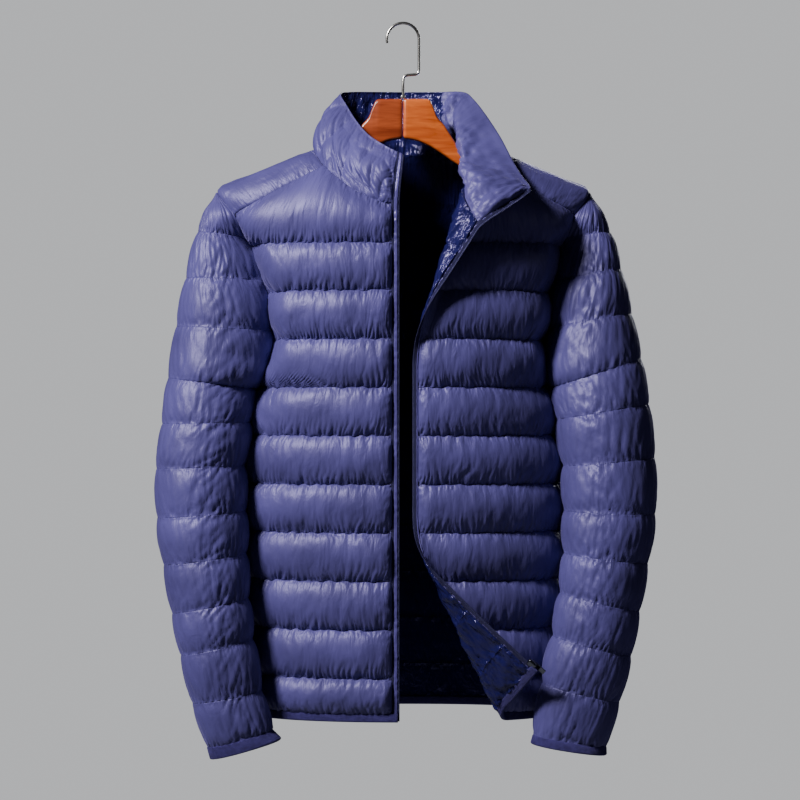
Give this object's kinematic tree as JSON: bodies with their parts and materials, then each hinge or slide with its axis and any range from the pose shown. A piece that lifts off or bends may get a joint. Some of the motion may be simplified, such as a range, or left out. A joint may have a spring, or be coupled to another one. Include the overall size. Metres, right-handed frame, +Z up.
{
  "type": "puffer jacket on a hanger",
  "caption": "Quilted puffer jacket hanging open on a wooden hanger, its left front folded out at the collar and the hem corner.",
  "frame": {"origin": "inner top of the hook's crown, where the rail carries the hanger", "axes": "+Z up, +Y to the jacket's back, +X to the wearer's left"},
  "size_m": [0.6201, 0.2324, 0.9058],
  "materials": {
    "shell": "satin nylon, quilted over down",
    "lining": "glossy nylon lining",
    "binding": "elastic ribbed binding",
    "zip_tape": "woven tape",
    "zip_metal": "plated metal",
    "hanger_wood": "lacquered",
    "hook_steel": "nickel plated"
  },
  "bodies": {
    "garment": {"front_right": "shell", "front_left": "shell", "back": "shell", "sleeve_right": "shell", "sleeve_left": "shell", "collar": "shell", "hem_binding_right": "binding", "hem_binding_back": "binding", "hem_binding_left": "binding", "cuff_binding_right": "binding", "cuff_binding_left": "binding", "zip_tape_right": "zip_tape", "zip_tape_left": "zip_tape", "zip_pin": "zip_metal", "zip_slider": "zip_metal", "hanger_right": "hanger_wood", "hanger_left": "hanger_wood", "hook": "hook_steel"},
    "zip_pull": {"zip_pull": "zip_metal"}
  },
  "joints": [
    {"name": "pull_swing", "type": "hinge", "parent": "garment", "child": "zip_pull", "pos_m": [0.15458, -0.13487, -0.78145], "axis": [0.5059, -0.6156, 0.6042], "range_deg": [0, 120]}
  ]
}
